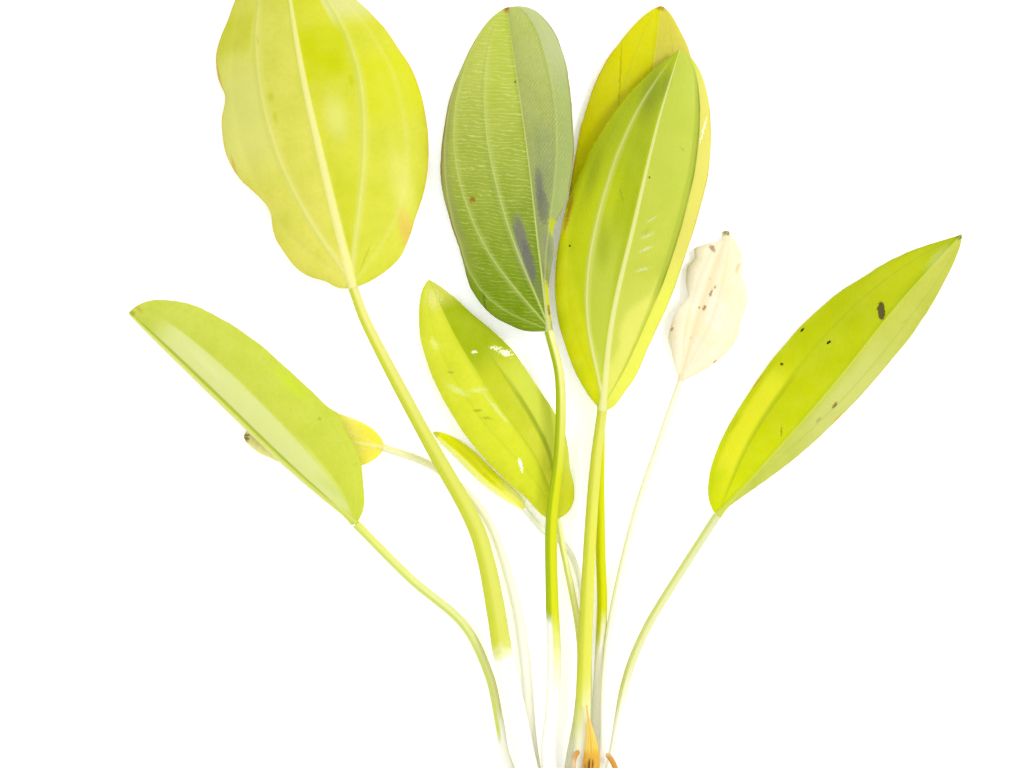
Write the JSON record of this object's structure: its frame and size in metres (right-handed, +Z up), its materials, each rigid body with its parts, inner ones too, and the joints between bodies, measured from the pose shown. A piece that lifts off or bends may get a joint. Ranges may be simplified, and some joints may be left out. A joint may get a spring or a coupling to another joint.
{
  "type": "amazon sword plant",
  "caption": "Bare-rooted amazon sword plant lying flat: pointed oval leaves on long stalks fan out from one crown with a tuft of roots.",
  "frame": {"origin": "on the surface that the plant lies on, under the middle of its outline", "axes": "+Z up from the surface, +Y from the crown towards the leaf tips, +X to the right as seen from above"},
  "size_m": [0.2919, 0.3502, 0.0171],
  "materials": {
    "leaf_lime": "waxy, translucent",
    "leaf_dark_green": "waxy, translucent",
    "leaf_green": "waxy, translucent",
    "leaf_yellow": "waxy, translucent",
    "leaf_bright_green": "waxy, translucent",
    "leaf_faded": "dry, thin, matt",
    "stalk_green": "moist, satin",
    "stalk_pale": "moist, satin",
    "crown_white": "moist, satin",
    "dried_sheath": "dry, thin, matt",
    "root_brown": "moist, satin"
  },
  "bodies": {
    "root": {"broad_leaf_blade": "leaf_lime", "broad_leaf_stalk": "stalk_green", "dark_leaf_blade": "leaf_dark_green", "dark_leaf_stalk": "stalk_green", "front_leaf_blade": "leaf_green", "front_leaf_stalk": "stalk_green", "yellow_leaf_blade": "leaf_yellow", "yellow_leaf_stalk": "stalk_green", "centre_leaf_blade": "leaf_bright_green", "centre_leaf_stalk": "stalk_green", "folded_leaf_blade": "leaf_bright_green", "folded_leaf_stalk": "stalk_green", "faded_leaf_blade": "leaf_faded", "faded_leaf_stalk": "stalk_pale", "right_leaf_blade": "leaf_bright_green", "right_leaf_stalk": "stalk_green", "left_leaf_blade": "leaf_green", "left_leaf_stalk": "stalk_green", "hidden_leaf_blade": "leaf_yellow", "hidden_leaf_stalk": "stalk_pale", "crown": "crown_white", "dried_sheath": "dried_sheath", "root_1": "root_brown", "root_2": "root_brown", "root_3": "root_brown", "root_4": "root_brown", "root_5": "root_brown", "root_6": "root_brown", "root_7": "root_brown", "root_8": "root_brown", "root_9": "root_brown"}
  },
  "joints": []
}
